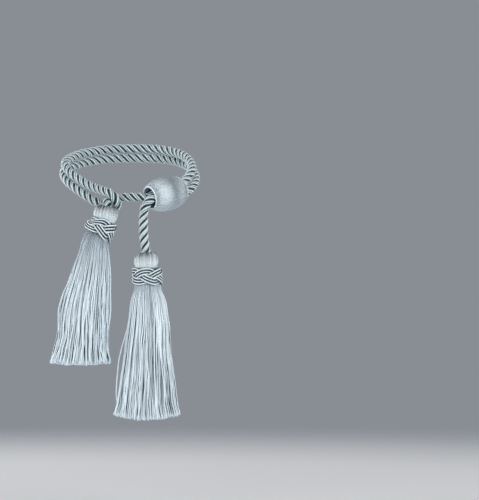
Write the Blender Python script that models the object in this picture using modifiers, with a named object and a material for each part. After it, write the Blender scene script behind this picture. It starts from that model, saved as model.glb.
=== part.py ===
"""Curtain tieback: one twisted rope, doubled into a loop, with a sliding bead and two tassels.

The frame's origin is the point at the back of the loop that it is held by, midway between the rope's two
runs. +X is right, +Y points backwards and +Z is up. Lengths are in millimetres, and MM turns them into
metres as the objects are made.
"""

import random
from math import cos, pi, radians, sin, sqrt, tanh

import bmesh
import bpy
import numpy as np
from mathutils import Matrix, Vector

MM = 0.001

# Rope: three strands laid right-handed.
ROPE_RADIUS = 4.5
ROPE_GROOVE_RADIUS = 3.5
ROPE_STRANDS = 3
ROPE_CROWN_HALF_ANGLE = 23.0  # degrees, half the rounded top of a strand
ROPE_PITCH = 23.0
ROPE_STEPS_PER_TURN = 9

# Bead: a barrel with a wide bore, its axis turned back and rising to the right.
BEAD_CENTRE = Vector((37.9, -99.7, -43.5))
BEAD_LENGTH = 39.0
BEAD_RADIUS = 17.3
BEAD_END_RADIUS = 11.9
BEAD_RIM = 0.7
BORE_RADIUS = 10.4
BEAD_YAW = radians(35.0)
BEAD_RISE = radians(13.2)
ROPE_OFFSET_IN_BORE = 4.9  # from the bore's axis to each rope's centre

# Collar: a braid of three leads and five bights, measured from its own middle.
COLLAR_LEADS = 3
COLLAR_BIGHTS = 5
COLLAR_RADIUS = 13.25
COLLAR_SWING = 6.7  # up and down, from edge to middle
COLLAR_WEAVE = 1.4  # in and out, where it passes under and over itself
COLLAR_WEAVE_STEEPNESS = 1.5
COLLAR_WIDTH = 5.6
COLLAR_THICKNESS = 1.7
COLLAR_STEPS_PER_BIGHT = 12

# Head and neck, as (radius, height above the collar's middle).
DIMPLE_RADIUS = 5.0
DIMPLE_FLOOR = 19.6
HEAD_BOTTOM = 6.0
HEAD_OUTLINE = [
    (6.6, 23.2),
    (8.6, 23.8),
    (10.9, 22.2),
    (12.3, 18.9),
    (12.5, 15.6),
    (12.0, 12.4),
    (10.4, 9.2),
    (10.3, HEAD_BOTTOM),
]
NECK_RADIUS = 10.3
NECK_TOP = 5.7
SHOULDER_RADIUS = 13.6
SHOULDER_TOP = -10.1
SHOULDER_BOTTOM = -12.2

# Skirt: three-sided strands that grow from a round lattice of triangles, 150 to a skirt.
LATTICE_RINGS = 5
ROOT_INSET = 0.15
STRAND_THINNING = (0.90, 0.82, 0.66)  # a strand's share of its place in the bundle, at each level
STRAND_WANDER = 0.12  # each strand's own drift, for each level down
STRAND_SWAY = 0.4  # the bundle's slow wave, for each level down

# Tilt is the tassel's, about Y, and collar_turn is the collar's, about the tassel's own axis.
# Each level of a skirt: height, left edge, right edge, middle depth, half depth.
TASSELS = [
    {
        "name": "tassel_left",
        "centre": Vector((-27.9, -114.3, -79.5)),
        "tilt": radians(18.5),
        "collar_turn": radians(7.0),
        "levels": [
            (-128.0, -57.6, -16.8, -112.6, 15.5),
            (-170.0, -68.8, -18.4, -112.0, 18.5),
            (-215.5, -77.8, -14.6, -111.5, 22.0),
        ],
        "edge_rise": 2.0,
        "seed": 11,
    },
    {
        "name": "tassel_right",
        "centre": Vector((18.9, -118.5, -126.25)),
        "tilt": 0.0,
        "collar_turn": 0.0,
        "levels": [
            (-168.0, 0.4, 41.4, -118.5, 16.5),
            (-212.0, -6.0, 47.0, -118.5, 20.0),
            (-270.0, -15.0, 53.6, -118.0, 24.5),
        ],
        "edge_rise": 7.0,
        "seed": 23,
    },
]


def bead_axes():
    """The bead's directions: along the bore, across it towards the front, and across it upwards."""
    along = Vector((cos(BEAD_RISE) * cos(BEAD_YAW), cos(BEAD_RISE) * sin(BEAD_YAW), sin(BEAD_RISE)))
    front = Vector((sin(BEAD_YAW), -cos(BEAD_YAW), 0.0))
    return along, front, front.cross(along)


def through_bore(start_degrees):
    """A rope's route through the bore from left to right, a quarter turn round its fellow."""
    along, front, up = bead_axes()
    route = []
    for share in (0.0, 0.25, 0.5, 0.75, 1.0):
        angle = radians(start_degrees - 90.0 * share)
        offset = front * cos(angle) + up * sin(angle)
        point = BEAD_CENTRE + along * (BEAD_LENGTH * (share - 0.5)) + offset * ROPE_OFFSET_IN_BORE
        route.append(tuple(point))
    return route


def rope_route():
    """The rope's route from the left tassel's head to the right tassel's head."""
    head_to_bead = [
        (-21.4, -114.3, -60.1), (-20.3, -113.9, -56.6), (-20.4, -109.7, -53.0), (-17.8, -103.5, -50.4),
        (-11.5, -99.8, -48.5), (-3.0, -101.4, -47.4), (6.5, -104.6, -47.2), (13.6, -106.6, -47.6),
    ]
    upper_run = [
        (57.6, -82.6, -29.8), (61.8, -75.0, -23.8), (63.5, -64.0, -17.0), (61.5, -51.0, -10.5),
        (56.0, -37.0, -4.5), (44.0, -18.5, 1.0), (24.0, -4.5, 4.5), (0.0, 0.0, 5.0),
        (-24.0, -4.5, 4.0), (-44.0, -17.0, 0.5), (-57.0, -33.0, -4.0), (-64.0, -47.0, -9.0),
        (-64.8, -58.0, -13.6), (-61.3, -68.5, -19.4), (-55.6, -76.4, -24.8), (-48.5, -82.0, -29.6),
        (-41.6, -87.0, -33.8), (-33.6, -93.0, -37.4), (-26.6, -100.0, -39.9), (-20.0, -107.4, -42.2),
    ]
    fold = [
        (-14.8, -111.6, -45.2), (-11.3, -110.8, -50.8), (-11.0, -104.6, -56.8), (-15.4, -97.6, -59.4),
        (-22.5, -94.0, -57.0),
    ]
    lower_run = [
        (-30.6, -91.8, -52.5), (-36.5, -89.2, -49.2), (-43.0, -85.6, -45.0), (-49.0, -81.6, -40.8),
        (-55.6, -76.0, -36.0), (-63.0, -66.0, -29.4), (-66.5, -55.0, -23.6), (-65.5, -42.0, -18.0),
        (-58.0, -28.0, -13.5), (-44.0, -13.5, -9.0), (-24.0, -3.5, -6.0), (0.0, 0.0, -5.0),
        (24.0, -3.5, -5.5), (44.0, -14.0, -8.0), (58.0, -30.0, -13.5), (65.0, -46.0, -20.0),
        (67.2, -60.0, -26.4), (66.2, -72.0, -32.9), (61.3, -82.6, -39.3),
    ]
    bead_to_head = [
        (21.6, -116.6, -51.4), (18.2, -118.4, -56.5), (16.5, -118.5, -65.0), (16.3, -118.5, -78.0),
        (17.0, -118.5, -90.0), (18.5, -118.5, -100.0), (18.9, -118.5, -106.0),
    ]
    there = head_to_bead + through_bore(180.0) + upper_run
    back = lower_run + through_bore(0.0)[::-1] + bead_to_head
    return there + fold + back


def smooth_points(route, spacing):
    """Points about `spacing` apart along a natural cubic spline through the route, and their arc lengths."""
    knots = np.array(route, float)
    count = len(knots)
    at = np.concatenate([[0.0], np.cumsum(np.linalg.norm(np.diff(knots, axis=0), axis=1) ** 0.75)])
    width = np.diff(at)
    system = np.eye(count)
    change = np.zeros_like(knots)
    for i in range(1, count - 1):
        system[i, i - 1 : i + 2] = width[i - 1], 2.0 * (width[i - 1] + width[i]), width[i]
        change[i] = 6.0 * ((knots[i + 1] - knots[i]) / width[i] - (knots[i] - knots[i - 1]) / width[i - 1])
    bend = np.linalg.solve(system, change)
    fine_at = np.linspace(0.0, at[-1], 60 * count)
    span = np.clip(np.searchsorted(at, fine_at) - 1, 0, count - 2)
    ahead = (at[span + 1] - fine_at)[:, None]
    behind = (fine_at - at[span])[:, None]
    step = width[span][:, None]
    fine = (
        (bend[span] * ahead**3 + bend[span + 1] * behind**3) / (6.0 * step)
        + (knots[span] / step - bend[span] * step / 6.0) * ahead
        + (knots[span + 1] / step - bend[span + 1] * step / 6.0) * behind
    )
    run = np.concatenate([[0.0], np.cumsum(np.linalg.norm(np.diff(fine, axis=0), axis=1))])
    stops = np.linspace(0.0, run[-1], int(round(run[-1] / spacing)) + 1)
    return np.column_stack([np.interp(stops, run, fine[:, axis]) for axis in range(3)]), stops


def satin(name, colour, roughness):
    """A Principled material for one piece."""
    material = bpy.data.materials.new(name)
    material.use_nodes = True
    shader = material.node_tree.nodes["Principled BSDF"]
    shader.inputs["Base Color"].default_value = (*colour, 1.0)
    shader.inputs["Roughness"].default_value = roughness
    shader.inputs["Metallic"].default_value = 0.0
    return material


def add_object(name, data, collection, colour, roughness):
    """Links a new object, with a material of its own, into a collection."""
    made = bpy.data.objects.new(name, data)
    data.materials.append(satin(name + "_satin", colour, roughness))
    collection.objects.link(made)
    return made


def section_guide(name, outline, guides):
    """A closed flat outline, in millimetres, that a curve object takes as its section."""
    curve = bpy.data.curves.new(name, "CURVE")
    curve.dimensions = "2D"
    spline = curve.splines.new("POLY")
    spline.points.add(len(outline) - 1)
    for point, (x, y) in zip(spline.points, outline):
        point.co = (x * MM, y * MM, 0.0, 1.0)
    spline.use_cyclic_u = True
    guide = bpy.data.objects.new(name, curve)
    guide.hide_render = True
    guide.display_type = "WIRE"
    guides.objects.link(guide)
    return guide


def swept_curve(name, points, tilts, section, cyclic, twist_mode):
    """A curve through millimetre points that carries a section, turned by a tilt at each point."""
    curve = bpy.data.curves.new(name, "CURVE")
    curve.dimensions = "3D"
    curve.twist_mode = twist_mode
    curve.bevel_mode = "OBJECT"
    curve.bevel_object = section
    curve.use_fill_caps = not cyclic
    spline = curve.splines.new("POLY")
    spline.points.add(len(points) - 1)
    for point, place, tilt in zip(spline.points, points, tilts):
        point.co = (*(Vector(place) * MM), 1.0)
        point.tilt = tilt
    spline.use_cyclic_u = cyclic
    return curve


def make_rope(collection, guides):
    """The whole rope as one twisted, three-lobed solid."""
    outline = []
    for strand in range(ROPE_STRANDS):
        middle = 360.0 * strand / ROPE_STRANDS
        for angle, radius in (
            (middle - ROPE_CROWN_HALF_ANGLE, ROPE_RADIUS),
            (middle + ROPE_CROWN_HALF_ANGLE, ROPE_RADIUS),
            (middle + 180.0 / ROPE_STRANDS, ROPE_GROOVE_RADIUS),
        ):
            outline.append((radius * cos(radians(angle)), radius * sin(radians(angle))))
    section = section_guide("rope_section", outline[::-1], guides)
    points, stops = smooth_points(rope_route(), ROPE_PITCH / ROPE_STEPS_PER_TURN)
    tilts = 2.0 * pi * stops / ROPE_PITCH
    curve = swept_curve("rope", points, tilts, section, False, "MINIMUM")
    add_object("rope", curve, collection, (0.50, 0.57, 0.60), 0.38)


def add_turned(name, outline, closed, steps, collection, colour):
    """A solid of revolution from an outline of (radius, height) that runs down its outer side."""
    shape = bmesh.new()
    corners = [shape.verts.new((radius * MM, 0.0, height * MM)) for radius, height in outline]
    for start, end in zip(corners, corners[1:]):
        shape.edges.new((start, end))
    if closed:
        shape.edges.new((corners[-1], corners[0]))
    mesh = bpy.data.meshes.new(name)
    shape.to_mesh(mesh)
    shape.free()
    made = add_object(name, mesh, collection, colour, 0.36)
    screw = made.modifiers.new("turn", "SCREW")
    screw.steps = screw.render_steps = steps
    screw.use_merge_vertices = True
    screw.merge_threshold = 0.00001
    screw.use_smooth_shade = True
    return made


def make_bead(collection):
    """The barrel bead, with an open bore and narrow rims."""
    half = BEAD_LENGTH / 2.0
    reach = half / sqrt(1.0 - (BEAD_END_RADIUS / BEAD_RADIUS) ** 2)
    stations = 9
    heights = [(half - BEAD_RIM) * (1.0 - 2.0 * i / (stations - 1)) for i in range(stations)]
    side = [(BEAD_RADIUS * sqrt(1.0 - (height / reach) ** 2), height) for height in heights]
    rim_radius = BORE_RADIUS + BEAD_RIM
    bore = [(rim_radius, -half), (BORE_RADIUS, BEAD_RIM - half), (BORE_RADIUS, half - BEAD_RIM)]
    outline = [(rim_radius, half)] + side + bore
    bead = add_turned("bead", outline, True, 24, collection, (0.56, 0.63, 0.66))
    along, front, up = bead_axes()
    turn = Matrix((up, front, along)).transposed().to_4x4()
    bead.matrix_world = Matrix.Translation(BEAD_CENTRE * MM) @ turn


def make_head(tassel, carrier, collection):
    """The thread-wrapped bun, with a dimple that the rope's end goes into."""
    outline = [(0.0, DIMPLE_FLOOR), (DIMPLE_RADIUS, DIMPLE_FLOOR), *HEAD_OUTLINE, (0.0, HEAD_BOTTOM)]
    head = add_turned(tassel["name"] + "_head", outline, False, 20, collection, (0.62, 0.69, 0.71))
    head.parent = carrier


def make_collar(tassel, carrier, collection, guides):
    """The braided band: one flat lead that laps the neck three times, over and under itself."""
    corners = 8
    stretch = 1.0 / cos(pi / corners)
    outline = []
    for i in range(corners):
        angle = 2.0 * pi * (i + 0.5) / corners
        x = COLLAR_THICKNESS / 2.0 * stretch * cos(angle)
        y = COLLAR_WIDTH / 2.0 * stretch * sin(angle)
        outline.append((x, y))
    name = tassel["name"] + "_collar"
    section = section_guide(name + "_section", outline[::-1], guides)
    steps = COLLAR_STEPS_PER_BIGHT * COLLAR_BIGHTS
    points = []
    for i in range(steps):
        around = 2.0 * pi * COLLAR_LEADS * i / steps
        swing = 2.0 * pi * COLLAR_BIGHTS * i / steps
        radius = COLLAR_RADIUS + COLLAR_WEAVE * tanh(COLLAR_WEAVE_STEEPNESS * sin(2.0 * swing))
        points.append((radius * cos(around), radius * sin(around), COLLAR_SWING * sin(swing)))
    curve = swept_curve(name, points, [0.0] * steps, section, True, "Z_UP")
    collar = add_object(name, curve, collection, (0.58, 0.65, 0.66), 0.40)
    collar.parent = carrier
    collar.rotation_euler.z = tassel["collar_turn"]


def root_lattice(shape):
    """A unit disc of near-equal triangles, each of which a strand grows from."""
    sides = 6
    bmesh.ops.create_circle(shape, cap_ends=True, cap_tris=True, segments=sides, radius=1.0)
    bmesh.ops.subdivide_edges(shape, edges=shape.edges[:], cuts=LATTICE_RINGS - 1, use_grid_fill=True)
    middles = [Vector((cos(2.0 * pi * i / sides), sin(2.0 * pi * i / sides), 0.0)) for i in range(sides)]
    apothem = cos(pi / sides)
    for point in shape.verts:
        if point.co.length > 0.0:
            point.co = point.co.normalized() * max(point.co.dot(middle) for middle in middles) / apothem


def add_neck(shape, rim):
    """Raises the lattice's rim into the shoulder and the bound neck, and closes the top."""
    for radius, height in (
        (SHOULDER_RADIUS, SHOULDER_TOP),
        (NECK_RADIUS, SHOULDER_TOP),
        (NECK_RADIUS, NECK_TOP),
    ):
        grown = bmesh.ops.extrude_edge_only(shape, edges=rim)["geom"]
        rim = [item for item in grown if isinstance(item, bmesh.types.BMEdge)]
        for point in {end for edge in rim for end in edge.verts}:
            flat = Vector((point.co.x, point.co.y, 0.0)).normalized() * radius * MM
            point.co = (flat.x, flat.y, height * MM)
    bmesh.ops.holes_fill(shape, edges=rim, sides=0)


def bundle_place(level, x, y):
    """A place in the skirt at one level, from its place across the unit disc of the bundle."""
    height, left, right, depth, half_depth = level
    return Vector(((left + right) / 2.0 + x * (right - left) / 2.0, depth + y * half_depth, height))


def grow_strand(root, tassel, chance):
    """Draws one root out into a strand that follows the skirt's levels and thins to its end."""
    corners = [(point.co / (SHOULDER_RADIUS * MM)).to_2d() for point in root.verts]
    middle = sum(corners, Vector((0.0, 0.0))) / len(corners)
    wander = Vector((chance.uniform(-1.0, 1.0), chance.uniform(-1.0, 1.0), 0.0)) * STRAND_WANDER
    tip_rise = tassel["edge_rise"] * middle.length_squared + chance.uniform(-2.0, 2.0)
    sections = []
    for number, (level, share) in enumerate(zip(tassel["levels"], STRAND_THINNING), 1):
        sway = Vector((sin(2.5 * middle.y + 1.5 * middle.x + number), 0.0, 0.0)) * STRAND_SWAY
        shift = (sway + wander) * number
        if number == len(tassel["levels"]):
            shift.z = tip_rise
        places = [middle + (corner - middle) * share for corner in corners]
        sections.append([(bundle_place(level, *place) + shift) * MM for place in places])
    return sections


def make_skirt(tassel, carrier_matrix, collection):
    """The bound neck inside the collar and the strands that hang from it, as one solid."""
    shape = bmesh.new()
    root_lattice(shape)
    for point in shape.verts:
        point.co = point.co * SHOULDER_RADIUS * MM + Vector((0.0, 0.0, SHOULDER_BOTTOM * MM))
    roots = shape.faces[:]
    add_neck(shape, [edge for edge in shape.edges if edge.is_boundary])
    bmesh.ops.recalc_face_normals(shape, faces=shape.faces[:])
    bmesh.ops.inset_individual(shape, faces=roots, thickness=ROOT_INSET * MM)
    chance = random.Random(tassel["seed"])
    strands = [(root, grow_strand(root, tassel, chance)) for root in roots]
    bmesh.ops.transform(shape, matrix=carrier_matrix, verts=shape.verts[:])
    for root, sections in strands:
        face = root
        for section in sections:
            face = bmesh.ops.extrude_discrete_faces(shape, faces=[face])["faces"][0]
            for point, place in zip(face.verts, section):
                point.co = place
    name = tassel["name"] + "_skirt"
    mesh = bpy.data.meshes.new(name)
    shape.to_mesh(mesh)
    shape.free()
    add_object(name, mesh, collection, (0.60, 0.66, 0.70), 0.42)


def make_tassel(tassel, collection, guides):
    """One tassel: head, collar and skirt, placed by an empty at the collar's middle."""
    carrier = bpy.data.objects.new(tassel["name"] + "_axis", None)
    carrier.matrix_world = (
        Matrix.Translation(tassel["centre"] * MM) @ Matrix.Rotation(tassel["tilt"], 4, "Y")
    )
    guides.objects.link(carrier)
    make_head(tassel, carrier, collection)
    make_collar(tassel, carrier, collection, guides)
    make_skirt(tassel, carrier.matrix_world.copy(), collection)


def main():
    for old in list(bpy.data.objects):
        bpy.data.objects.remove(old)
    collection = bpy.data.collections.new("curtain_tieback_tassel")
    guides = bpy.data.collections.new("guides")
    bpy.context.scene.collection.children.link(collection)
    bpy.context.scene.collection.children.link(guides)
    make_rope(collection, guides)
    make_bead(collection)
    for tassel in TASSELS:
        make_tassel(tassel, collection, guides)


main()
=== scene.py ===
"""Looks of the curtain tieback: its twisted rope, thread-covered bead and two tassels.

Lengths are in metres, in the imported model's frame: the origin is the back of the loop, +X is right, +Y points
backwards and +Z is up. Sizes that are easier to read in millimetres are written as a number times MM.
"""

from math import cos, pi, radians, sin, tau

import bpy
import numpy as np
from mathutils import Matrix, Vector

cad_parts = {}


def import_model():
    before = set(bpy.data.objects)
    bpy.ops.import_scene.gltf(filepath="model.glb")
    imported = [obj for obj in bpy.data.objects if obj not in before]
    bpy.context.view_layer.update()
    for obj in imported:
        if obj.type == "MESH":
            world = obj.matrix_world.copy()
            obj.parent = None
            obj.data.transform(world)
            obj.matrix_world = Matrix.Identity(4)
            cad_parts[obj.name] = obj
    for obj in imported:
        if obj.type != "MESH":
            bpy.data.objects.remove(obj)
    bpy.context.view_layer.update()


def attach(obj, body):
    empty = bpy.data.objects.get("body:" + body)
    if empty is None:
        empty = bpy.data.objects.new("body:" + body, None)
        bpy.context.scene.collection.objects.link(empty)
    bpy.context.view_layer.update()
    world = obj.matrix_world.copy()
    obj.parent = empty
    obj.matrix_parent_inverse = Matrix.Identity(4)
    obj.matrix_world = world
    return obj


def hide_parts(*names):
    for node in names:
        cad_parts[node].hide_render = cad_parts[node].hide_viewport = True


MM = 0.001

# Camera: the photograph's frame, seen from straight ahead.
PHOTO_SIZE = (479, 500)  # pixels
ORIGIN_PIXEL = (127.6, 150.0)
PIXEL = 1.0 * MM  # at the depth of the front of the rope
FRONT_DEPTH = -105.0 * MM
CAMERA_DISTANCE = 3.0
CAMERA_REACH = 50.0  # how far it sees
SENSOR = 36.0  # millimetres, across the photograph's long side

# Rope: three strands laid right-handed. Each shows two satin cords with a painted highlight along each, painted
# shade on the yarn between them and on its flanks, and painted shade in the grooves between strands.
ROPE_RADIUS = 4.5 * MM
ROPE_PITCH = 23.0 * MM
ROPE_STRANDS = 3
ROPE_SPACING = 0.95 * MM  # between its rings of points
ROUTE_POWER = 0.75  # of the distance between points of the route, as the spline's steps
ROUTE_DETAIL = 60  # fine steps for each point of the route
STRAND_OFFSET = 2.55 * MM  # from the rope's axis to a strand's
STRAND_RADIUS = 2.25 * MM
STRAND_SIDES = 36
OUTER_FACE = 0.2  # cosine of the angle from a strand's crest where its outer face ends
# Cords on a strand's outer face, with a painted highlight along each: degrees from its crest, half width in
# degrees, and brightness.
STRAND_CORDS = [(30.0, 23.0, 1.0), (-38.0, 18.0, 0.95)]
CORD_HEIGHT = 0.3 * MM  # how far a cord stands above the yarn beside it
BETWEEN_CORDS = 0.28  # brightness of the yarn between them, painted shade
BETWEEN_WIDTH = 24.0  # degrees, half the width of the yarn between them where it is full
BETWEEN_FILL = (0.1, 0.2, 9.0 * MM)  # how full and light that yarn is, which lifts its painted shade, how much this varies, and the length per radian
FULL_STEM = 48.0 * MM  # length above the right tassel where that yarn is full and bright
FULL_STEM_FADE = 0.3 * FULL_STEM  # length over which it fills up there
FULLEST = 0.9
ROPE_TONE = 0.5
STEM_DULLING = 0.3  # brightness that the whole yarn loses in the full stem
FLANK_FADE = (76.0, 36.0)  # degrees from the crest where painted shade starts on a strand's flank, and over how many
ROPE_FADE = (0.5, 0.35)  # share of the rope's radius where the painted shade in the grooves between strands starts to lift, and over how much

# Threads wound side by side over the bead and the heads.
THREAD_SIDES = 4
THREAD_ROUNDNESS = 0.8  # power of a cosine: the lower, the fuller a thread
THREAD_CREVICE = 0.35  # painted shade between two threads: their rise there, where a crest's is 1

# Bead: a barrel with a wide bore, its axis turned back and rising to the right.
BEAD_CENTRE = Vector((0.0379, -0.0997, -0.0435))
BEAD_LENGTH = 39.0 * MM
BEAD_RADIUS = 17.3 * MM
BEAD_END_RADIUS = 11.9 * MM
BEAD_YAW = radians(35.0)
BEAD_RISE = radians(13.2)
BORE_RADIUS = 10.4 * MM
MOUTH_RADIUS = (BORE_RADIUS + BEAD_END_RADIUS) / 2.0
SIDE_RINGS = 34
SIDE_INSET = 0.5 * MM  # from a mouth to the first ring of the side
BORE_RINGS = 16
BORE_INSET = 0.6 * MM  # from a mouth to the first ring of the bore
ROPE_OFFSET_IN_BORE = 4.9 * MM
BEAD_THREADS = 132
BEAD_THREAD_HEIGHT = 0.16 * MM
BORE_THREADS = 0.4  # share of that height in the bore
BEAD_TONE = (0.5, 0.13)  # brightness of its threads, and how much they differ
BEAD_SPECKS = 0.3  # how much a thread's brightness varies along it by the mouths
SPECKS_FADE = (0.5, 0.3)  # share of the way from the middle to a mouth where that starts, and over how much
BEAD_SEED = 5
MOUTH_CORD_RADIUS = 0.6 * MM
MOUTH_CORD_STEPS = 120
MOUTH_CORD_SIDES = 10
MOUTH_CORD_TONE = 0.9

# Collar: a braid of three leads and five bights, each lead of three cords side by side.
COLLAR_LEADS = 3
COLLAR_BIGHTS = 5
COLLAR_STEPS = 300
COLLAR_RADIUS = 12.95 * MM
COLLAR_SWING = 5.0 * MM  # how far a lead goes up and down
COLLAR_WEAVE = 1.4 * MM  # how far it goes in and out
COLLAR_WEAVE_STEEPNESS = 1.5  # the higher, the sooner a lead is out or in
COLLAR_CORDS = (-1, 0, 1)  # places of the cords across a lead
COLLAR_CORD_RADIUS = 1.1 * MM
COLLAR_CORD_SPACING = 2.65 * MM
COLLAR_CORD_SIDES = 12
COLLAR_HALF_HEIGHT = 9.0 * MM  # where its narrowing is full
COLLAR_TONE = 0.7
# Painted shade on a cord: its rise by the cosine of the angle from its crest, where it starts and over how
# much, between cords and on the free sides of a lead. Past a cosine, a cord faces the neck and has one rise, a
# painted shade.
BETWEEN_FADE = (0.80, 0.13)
FREE_SIDE_FADE = (0.70, 0.2)
NECK_SIDE = (-0.4, 0.45)

# Head: (radius, height above the collar's middle), from the dimple over the bun to the neck.
HEAD_OUTLINE = np.array([
    (0.6, 19.6), (4.7, 19.7), (5.1, 21.6), (6.3, 23.3), (8.2, 23.8), (10.4, 22.2),
    (11.75, 18.9), (11.95, 15.6), (11.6, 12.5), (10.7, 9.6), (10.0, 6.8), (8.7, 6.05),
]) * MM
HEAD_RINGS = 44
HEAD_TOP_FADE = (13.0 * MM, 8.0 * MM)  # height where the top starts to slope and to take painted shade, and over how much
HEAD_TOP_SHADE = 0.3
HEAD_FOOT_FADE = 0.9 * MM  # height over which the shade by the collar ends
HEAD_THREADS = 72
HEAD_THREAD_HEIGHT = 0.26 * MM
HEAD_THREAD_RADIUS = 8.0 * MM  # radius inside which that height is less
HEAD_SWAY = (0.012, 7.0, 260.0)  # radians that threads sway by, waves round the head, and radians per metre
HEAD_STREAKS = 0.75  # how much threads differ in brightness, at the top
HEAD_TONE = (-0.95, 4.0, 1.1)  # painted light, brighter towards the neck: brightness at the top, what it gains towards the neck, and the most it can be

# Skirt: how a strand lies in the neck and under the collar, as the radius, the height above the collar's
# middle, and how far it has gone from the collar's shift to the neck's.
NECK = [
    (9.3 * MM, 5.0 * MM, 0.0), (9.9 * MM, -4.0 * MM, 0.0), (12.5 * MM, -7.8 * MM, 0.3),
    (12.8 * MM, -10.5 * MM, 0.8), (13.1 * MM, -13.5 * MM, 1.0),
]
SHADE_LEVEL = 2  # of the neck, down to which the collar's shade is full
SKIRT_STRANDS = 760
GOLDEN_ANGLE = pi * (3.0 - 5.0**0.5)  # from strand to strand, which fills the bundle evenly
OUTER_SHARE = 0.72  # of the bundle's radius, outside which strands are finely made
OUTER_DETAIL = (40, 6)  # rings along a strand, and sides round it
CORE_DETAIL = (14, 4)
STRAND_RADII = (0.45 * MM, 0.74 * MM)  # in the neck and at the cut end
STRAND_GROWTH = 0.5  # power by which it grows down the skirt
STRAND_THICKNESS = (0.82, 1.18)  # least and most share of that radius
BUNDLE_FADE = (0.62, 0.28)  # share of the bundle's radius where painted shade on strands deep inside starts to lift, and over how much
CORE_PAINTED_LIGHT = 0.2  # light that painted shade leaves on the strands further in
STRAND_RISE = (0.49, 0.8)  # painted shade on a strand's sides: the rise there, and how much more it is on its outer face
DULLEST = 0.8  # how much brightness the dullest strand loses
DULL_POWER = 3  # the higher, the fewer dull strands
TIP = 0.04  # share of a strand's way down the skirt that has painted light, at its cut end
CUT_UNEVEN = 1.8 * MM
CUT_START = 0.8  # share of the way down where strands start to grow longer or shorter
FLARE = 1.6 * MM  # how far the outermost cut ends may spread
FLARE_START = 0.85  # share of the way down where they start to
FLARE_SHARES = (-0.4, 1.0)  # least and most share of the flare that a strand takes

# Locks that strands gather into: how many round the skirt, sideways pull, and where down the skirt it starts.
LOCKS = [(13, 0.6 * MM, 0.2), (23, 0.68 * MM, 0.1), (37, 0.45 * MM, 0.0)]
LOCK_BEND = 5.0  # radians, the most that a lock shifts sideways down the skirt
LOCK_STRENGTH = (0.6, 0.4)  # share of the pull, and how much this varies
LOCK_BEATS = (2.0, 3.0)  # how often it varies, down the skirt and round it
# Each strand's own waves: how many down the skirt, and their usual size.
WAVES = [(0.6, 1.1 * MM), (1.5, 0.6 * MM), (3.1, 0.3 * MM), (7.0, 0.16 * MM)]

# A tassel's centre is its collar's middle, and a tilt leans a top to the right. Shifts are to the right too:
# the collar's, the head's, and the neck's, which is that of the strands below the collar.
# Collar: it turns about its own axis. Its width is its left side's share, its right side's, and how much the
# left narrows at the top and foot. Its lift is all over, per length to the right and per length squared. Its
# lean is how far its top goes to the right for each length upwards. Its growth is in height, all over and per
# metre to the right.
# Head: its slope is how far its top rises for each length to the right. Its foot is where the collar's edge
# shades it, as the height and its slope to the right.
# Skirt: its shade is how much darker strands are under the collar, and how far down. Its edge rise is how
# much higher the cut ends are at its left and right edges. Strays are single strands that leave the bundle:
# bearing in degrees from the right, start and end down the skirt, and reach.
TASSELS = [
    {
        "name": "tassel_left",
        "centre": Vector((-0.0279, -0.1143, -0.0795)),
        "tilt": radians(18.5),
        "collar_turn": radians(2.5),
        "collar_shift": 0.6 * MM,
        "collar_width": (1.06, 1.0, 0.22),
        "collar_lift": (3.0 * MM, -0.13, -8.7),
        "collar_lean": 0.12,
        "collar_growth": (1.0, 18.0),
        "head_tilt": radians(12.0),
        "head_shift": 3.1 * MM,
        "head_slope": 0.0,
        "head_foot": (9.3 * MM, -0.2),
        "neck_shift": 0.4 * MM,
        "shade": (0.6, 45.0 * MM),
        "edge_rise": 1.5 * MM,
        "strays": [(180.0, 0.35, 0.8, 1.6 * MM), (0.0, 0.1, 0.85, 2.0 * MM)],
        "seed": 11,
    },
    {
        "name": "tassel_right",
        "centre": Vector((0.0189, -0.1185, -0.12625)),
        "tilt": 0.0,
        "collar_turn": 0.0,
        "collar_shift": 1.2 * MM,
        "collar_width": (1.0, 1.0, 0.0),
        "collar_lift": (0.0, 0.0, 0.0),
        "collar_lean": 0.0,
        "collar_growth": (1.0, 0.0),
        "head_tilt": 0.0,
        "head_shift": 0.0,
        "head_slope": 0.09,
        "head_foot": (8.4 * MM, 0.0),
        "neck_shift": 1.7 * MM,
        "shade": (0.5, 24.0 * MM),
        "edge_rise": 4.0 * MM,
        "strays": [(180.0, 0.27, 0.9, 4.8 * MM), (4.0, 0.6, 1.0, -4.0 * MM)],
        "seed": 23,
    },
]

# Each level of a skirt, in millimetres: height, left edge, right edge, middle depth, half depth.
SKIRT_LEVELS = {
    "tassel_left": [
        (-100.0, -48.3, -18.3, -113.4, 14.0),
        (-114.0, -53.4, -17.4, -113.0, 14.8),
        (-133.0, -59.3, -17.6, -112.6, 15.9),
        (-152.0, -65.2, -18.4, -112.3, 17.2),
        (-170.0, -68.3, -18.9, -112.0, 18.5),
        (-186.0, -69.9, -18.6, -111.9, 19.7),
        (-200.0, -73.6, -17.6, -111.7, 20.9),
        (-213.0, -77.2, -15.8, -111.5, 22.0),
    ],
    "tassel_right": [
        (-147.0, 4.4, 37.4, -118.5, 14.8),
        (-160.0, 2.2, 40.0, -118.5, 15.8),
        (-176.0, 0.2, 42.2, -118.5, 17.1),
        (-200.0, -3.0, 43.6, -118.5, 19.1),
        (-218.0, -5.4, 46.0, -118.4, 20.5),
        (-242.0, -9.4, 48.6, -118.2, 22.4),
        (-254.0, -11.0, 49.6, -118.1, 23.4),
        (-267.0, -13.8, 52.4, -118.0, 24.5),
    ],
}

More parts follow.
